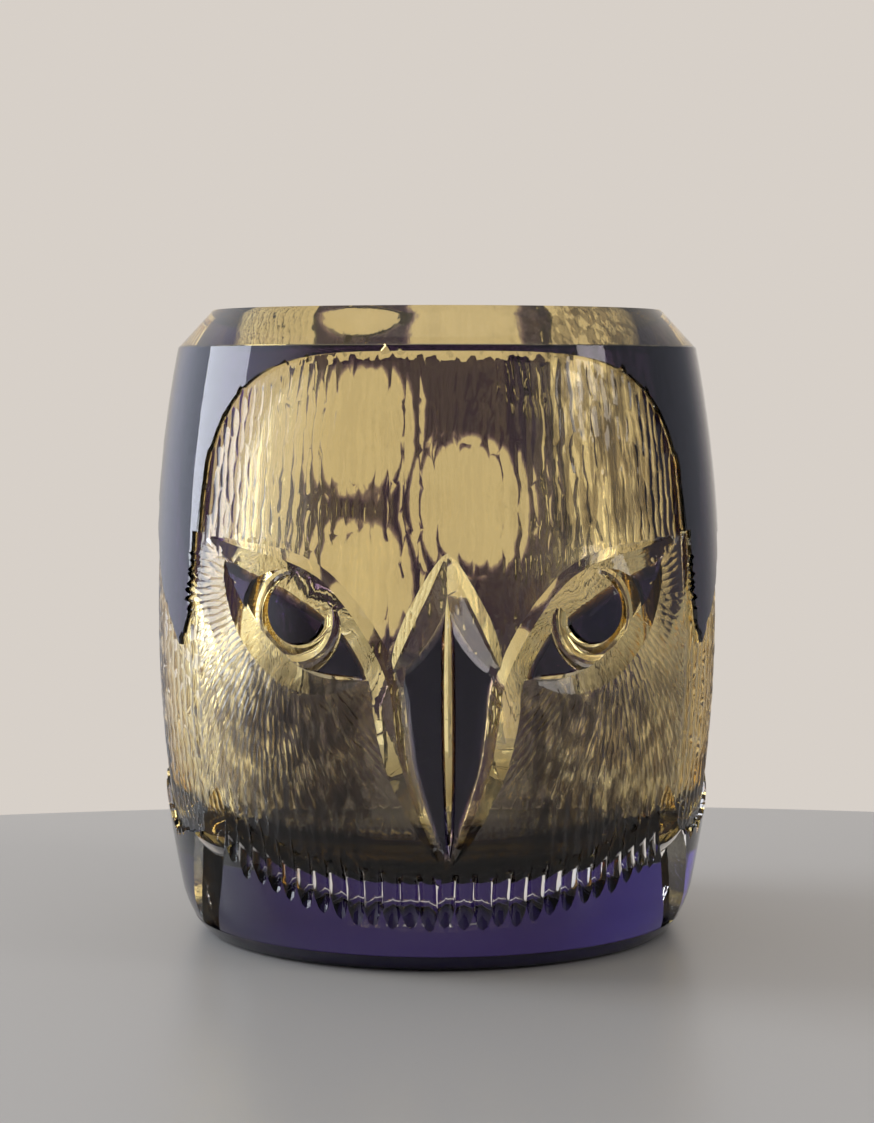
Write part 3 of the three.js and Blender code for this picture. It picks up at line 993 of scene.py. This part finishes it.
def glass(name, wave, bump, lineShare, colour=None, density=0.0, shadePainted=False):
    # clear or coloured glass: it bends light, soaks up the other colours on the way, and has the wheel's polish
    material = bpy.data.materials.new(name)
    material.use_nodes = True
    tree = material.node_tree
    tree.nodes.clear()
    link = tree.links.new
    place = tree.nodes.new("ShaderNodeTexCoord")
    finish = add(tree, "ShaderNodeGroup", node_tree=wheelPolish)
    finish.inputs["Wave Size"].default_value = wave
    finish.inputs["Line Share"].default_value = lineShare
    finish.inputs["Smear"].default_value = glassLooks["smear"]
    link(place.outputs["Object"], finish.inputs["Vector"])
    relief = add(tree, "ShaderNodeBump", {"Strength": 1.0, "Distance": bump})
    link(finish.outputs["Height"], relief.inputs["Height"])
    shader = add(tree, "ShaderNodeBsdfPrincipled", {
        "Base Color": (1, 1, 1, 1), "IOR": glassLooks["ior"], "Transmission Weight": 1.0})
    link(finish.outputs["Roughness"], shader.inputs["Roughness"])
    link(relief.outputs["Normal"], shader.inputs["Normal"])
    out = tree.nodes.new("ShaderNodeOutputMaterial")
    link(shader.outputs[0], out.inputs["Surface"])
    # painted shade darkens the clear glass's colour over the cheeks and one temple
    if shadePainted:
        left = add(tree, "ShaderNodeGroup", node_tree=shadePaintTree)
        link(place.outputs["Object"], left.inputs["Vector"])
        link(left.outputs["Color"], shader.inputs["Base Color"])
    if colour:
        tint = add(tree, "ShaderNodeVolumeAbsorption", {"Color": (*colour, 1), "Density": density})
        link(tint.outputs[0], out.inputs["Volume"])
    return material


clearGlass = glass("clear_crystal", **glassLooks["clear"])
amberGlass = glass("amber_glass", **glassLooks["amber"])
violetGlass = glass("violet_glass", **glassLooks["violet"])


def finished(piece, node, material):
    # a piece gets its glass, rides on the tumbler and takes the place of its plain solid
    piece.data.materials.clear()
    piece.data.materials.append(material)
    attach(piece, "root")
    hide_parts(node)
    count = sum(len(p.vertices) - 2 for p in piece.data.polygons)
    print(f"{piece.name}: {count} triangles, {time.time() - started:.0f} s")


finished(crystal, "crystal_body", clearGlass)
finished(amber, "amber_lining", amberGlass)
finished(foot, "violet_foot", violetGlass)

shell = turned("shell", shellProfile(), around=240)
carve(shell, 0.0)
regions = {"violet_crown": crownRegion(), "violet_back": backRegion()}
for word, side in (("left", -1), ("right", 1)):
    regions[f"violet_beak_{word}"] = beakRegion(side)
for node, region in regions.items():
    # the biggest part in a region is the island, and the rest are slivers
    piece = sheath("whole", region, shell)
    label, volume, place = looseParts(piece.data)
    island = extract(piece, label == volume.argmax(), node.replace("violet", "panel"))
    finished(island, node, violetGlass)
    discard(piece)
for word, side in (("left", -1), ("right", 1)):
    # each opening between brow and eyelid holds three islands, told apart by where their middles lie
    eye = sheath("eye", eyeBlock(side, panels["outside"], panels["inside"]), shell)
    label, volume, place = looseParts(eye.data)
    biggest = np.argsort(volume)[::-1][:panels["eyeCandidates"]]
    biggest = biggest[volume[biggest] > 0]
    middles = np.array([place[label == k].mean(axis=0) / mm for k in biggest])
    angles = np.degrees(np.arctan2(side * middles[:, 0], -middles[:, 1]))
    favour = panels["sizeWeight"] * np.log(volume[biggest] / volume.max())
    for part, (a, z) in panels["eyeParts"].items():
        gap = np.hypot(arc(angles - a), middles[:, 2] - z) - favour
        island = extract(eye, label == biggest[gap.argmin()], f"panel_{part}_{word}")
        finished(island, f"violet_{part}_{word}", violetGlass)
    discard(eye)
discard(shell)

studio = dict(                                   # all in metres and degrees
    floorRadius=0.36, floorPlace=(0, -0.25), floorSides=180, floorDrop=0.0002,
    floorColour=(0.60, 0.585, 0.57), floorRoughness=0.35,
    behind=(0.68, 0.63, 0.58),
    glows=[                                      # colour, the way it faces, and the cosines it fades in between
        ((0.09, 0.09, 0.095), (0, -1, 0), 0.1, 0.8),
        ((1.05, 1.13, 1.3), (-1, 0.4, 0.15), 0.55, 0.95),
        ((0.26, 0.27, 0.3), (1, 0.05, 0), 0.35, 0.8),
        ((0.42, 0.41, 0.40), (0, 0, 1), 0.4, 0.9)],
    softboxes=[                                  # name, place, width, height, power and tint
        ("window_left", (-0.95, 0.25, 0.35), 0.5, 0.9, 6.0, (0.9, 0.95, 1.0)),
        ("panel_right", (0.9, -0.35, 0.5), 0.25, 0.5, 1.2, (1.0, 0.95, 0.9))],
    softboxAim=(0, 0, 0.05),
    cameraDistance=0.4, cameraAzimuth=-1.9, cameraHeight=0.082, aimHeight=0.0545, lens=85.5, sensor=36,
    nearest=0.01, bounces=40, glossyBounces=12,
)

spread = np.linspace(0, 2 * np.pi, studio["floorSides"], endpoint=False)
floor = makeMesh("floor", np.stack([studio["floorPlace"][0] + studio["floorRadius"] * np.cos(spread),
                                    studio["floorPlace"][1] + studio["floorRadius"] * np.sin(spread),
                                    0 * spread - studio["floorDrop"]], axis=-1) / mm,
                 [list(range(studio["floorSides"]))])
paper = bpy.data.materials.new("pale_floor")
paper.use_nodes = True
paperShader = paper.node_tree.nodes["Principled BSDF"]
paperShader.inputs["Base Color"].default_value = (*studio["floorColour"], 1)
paperShader.inputs["Roughness"].default_value = studio["floorRoughness"]
floor.data.materials.append(paper)

world = bpy.data.worlds.new("studio")
bpy.context.scene.world = world
world.use_nodes = True
sky = world.node_tree
sky.nodes.clear()
towards = sky.nodes.new("ShaderNodeTexCoord")
base = add(sky, "ShaderNodeRGB")
base.outputs[0].default_value = (*studio["behind"], 1)
colour = base.outputs[0]
for tint, axis, start, end in studio["glows"]:
    facing = add(sky, "ShaderNodeVectorMath", {1: Vector(axis).normalized()}, operation="DOT_PRODUCT")
    sky.links.new(towards.outputs["Generated"], facing.inputs[0])
    share = add(sky, "ShaderNodeMapRange", {1: start, 2: end}, interpolation_type="SMOOTHSTEP")
    sky.links.new(facing.outputs["Value"], share.inputs[0])
    mix = add(sky, "ShaderNodeMix", {7: (*tint, 1)}, data_type="RGBA")
    sky.links.new(share.outputs[0], mix.inputs[0])
    sky.links.new(colour, mix.inputs[6])
    colour = mix.outputs[2]
light = add(sky, "ShaderNodeBackground")
sky.links.new(colour, light.inputs[0])
sky.links.new(light.outputs[0], sky.nodes.new("ShaderNodeOutputWorld").inputs[0])


def turnTowards(thing, aim):
    thing.rotation_euler = (Vector(aim) - thing.location).to_track_quat("-Z", "Y").to_euler()


for name, place, width, height, power, tint in studio["softboxes"]:
    lamp = bpy.data.lights.new(name, "AREA")
    lamp.shape = "RECTANGLE"
    lamp.size, lamp.size_y, lamp.energy, lamp.color = width, height, power, tint
    holder = bpy.data.objects.new(name, lamp)
    holder.location = place
    turnTowards(holder, studio["softboxAim"])
    bpy.context.scene.collection.objects.link(holder)

camera = bpy.data.objects.new("camera", bpy.data.cameras.new("camera"))
bpy.context.scene.collection.objects.link(camera)
camera.data.lens = studio["lens"]
camera.data.sensor_width = studio["sensor"]
camera.data.clip_start = studio["nearest"]
azimuth = math.radians(studio["cameraAzimuth"])
camera.location = (studio["cameraDistance"] * math.sin(azimuth), -studio["cameraDistance"] * math.cos(azimuth),
                   studio["cameraHeight"])
turnTowards(camera, (0, 0, studio["aimHeight"]))
bpy.context.scene.camera = camera
bpy.context.scene.view_settings.view_transform = "Standard"
bpy.context.scene.cycles.max_bounces = studio["bounces"]
bpy.context.scene.cycles.transmission_bounces = studio["bounces"]
bpy.context.scene.cycles.glossy_bounces = studio["glossyBounces"]
print("floor, lights and camera are in place")

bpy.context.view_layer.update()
print(f"done in {time.time() - started:.0f} s")
